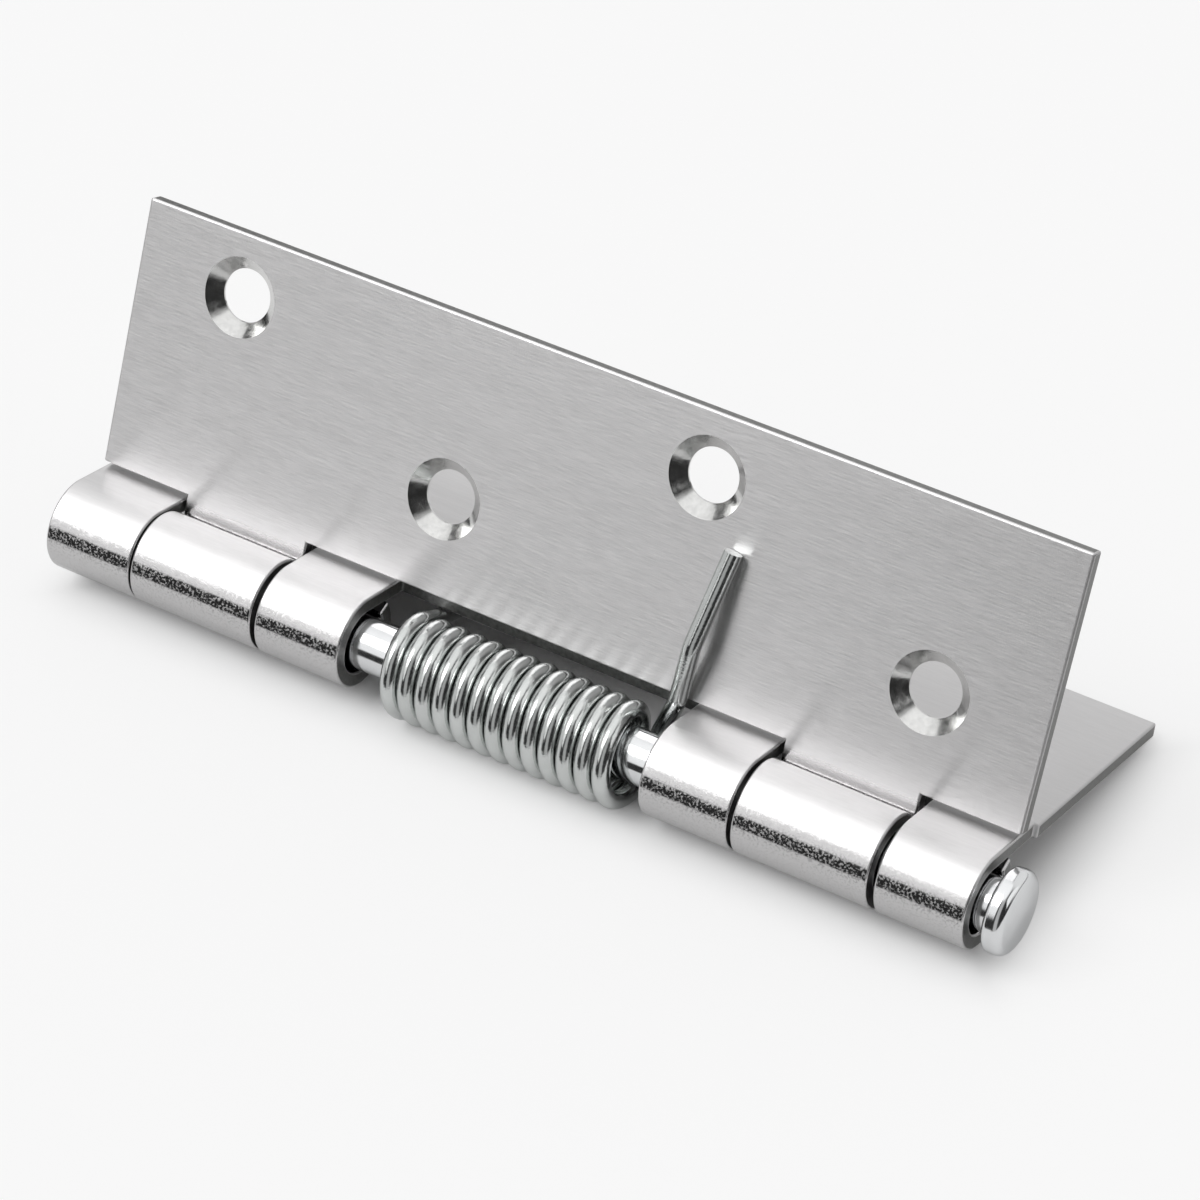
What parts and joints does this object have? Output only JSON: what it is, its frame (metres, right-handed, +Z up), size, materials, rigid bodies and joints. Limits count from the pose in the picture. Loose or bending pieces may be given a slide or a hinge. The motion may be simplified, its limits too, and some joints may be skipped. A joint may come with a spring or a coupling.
{
  "type": "spring loaded door hinge",
  "caption": "Butt hinge with rolled knuckles and a torsion spring round its pin that swings one leaf back to a stop; both leaves have staggered countersunk screw holes.",
  "frame": {"origin": "centre of the bottom of the bounding box, on the surface that the hinge rests on", "axes": "+X along the pin towards its head, +Y from the pin towards the outer edge of the lying leaf, +Z up"},
  "size_m": [0.1036, 0.0378, 0.0339],
  "materials": {
    "brushed_leaf": "stainless sheet, fine brushed along its length, bright where it is rolled",
    "bright_pin": "bright turned and plated steel",
    "spring_wire": "drawn wire, bright plated"
  },
  "bodies": {
    "fixed_side": {"fixed_leaf": "brushed_leaf", "hinge_pin": "bright_pin", "torsion_spring": "spring_wire"},
    "swing_side": {"swing_leaf": "brushed_leaf"}
  },
  "joints": [
    {"name": "leaf_swing", "type": "hinge", "parent": "fixed_side", "child": "swing_side", "pos_m": [-0.05135, -0.01367, 0.0055], "axis": [1, 0, 0], "range_deg": [0, 278.58], "stiffness_Nm_per_rad": 0.26, "springref_deg": -28.65, "deforming": ["torsion_spring"]}
  ]
}
